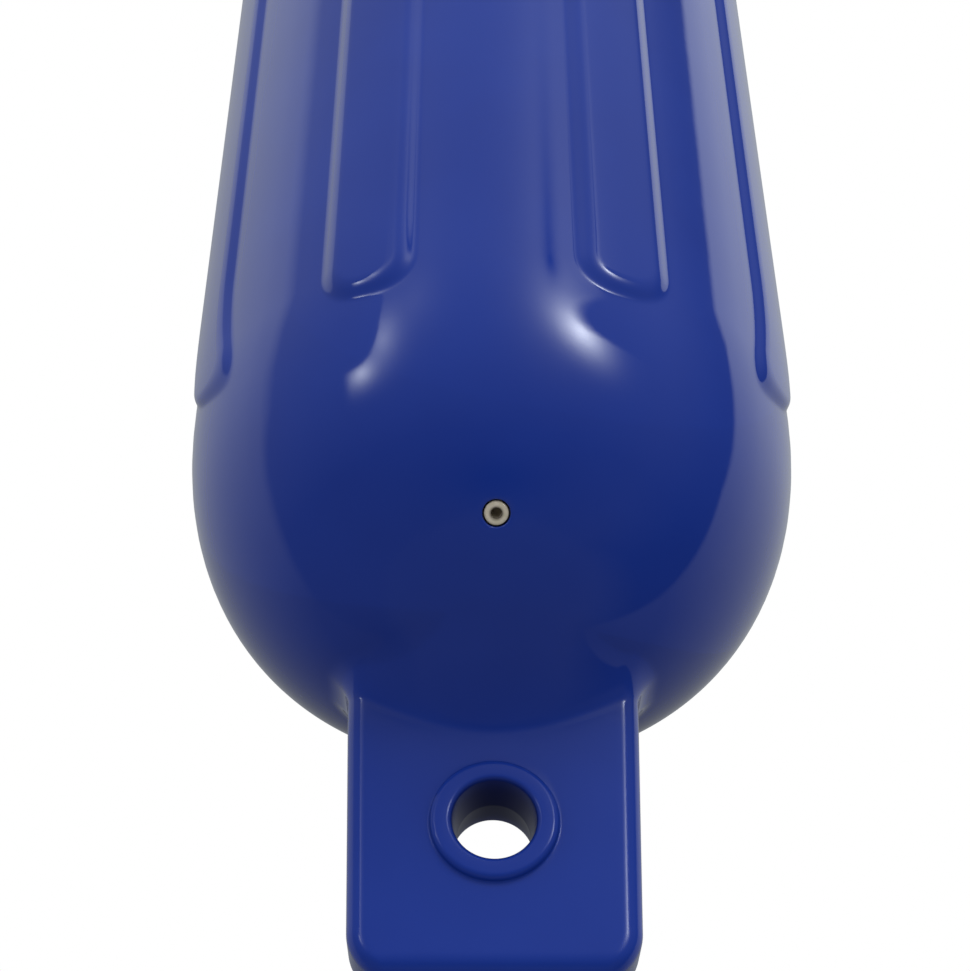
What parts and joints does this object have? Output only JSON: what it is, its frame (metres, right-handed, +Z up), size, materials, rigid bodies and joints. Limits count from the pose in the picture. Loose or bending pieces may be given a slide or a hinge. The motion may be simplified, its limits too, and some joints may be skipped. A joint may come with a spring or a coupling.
{
  "type": "boat fender",
  "caption": "Inflatable ribbed cylindrical boat fender with domed ends, a flat lug with a rimmed rope eye at each end, and a needle valve in the lower dome.",
  "frame": {"origin": "on the fender's axis, midway between its two eyes, at the middle of its box", "axes": "+Z up the axis towards the upper eye; the lugs lie flat across Y; the valve is in the lower dome and faces -Y"},
  "size_m": [0.1368, 0.1368, 0.51],
  "materials": {
    "vinyl": "glossy moulded blue vinyl",
    "valve_rubber": "satin cream rubber"
  },
  "bodies": {
    "root": {"fender_body": "vinyl", "needle_valve": "valve_rubber"}
  },
  "joints": []
}
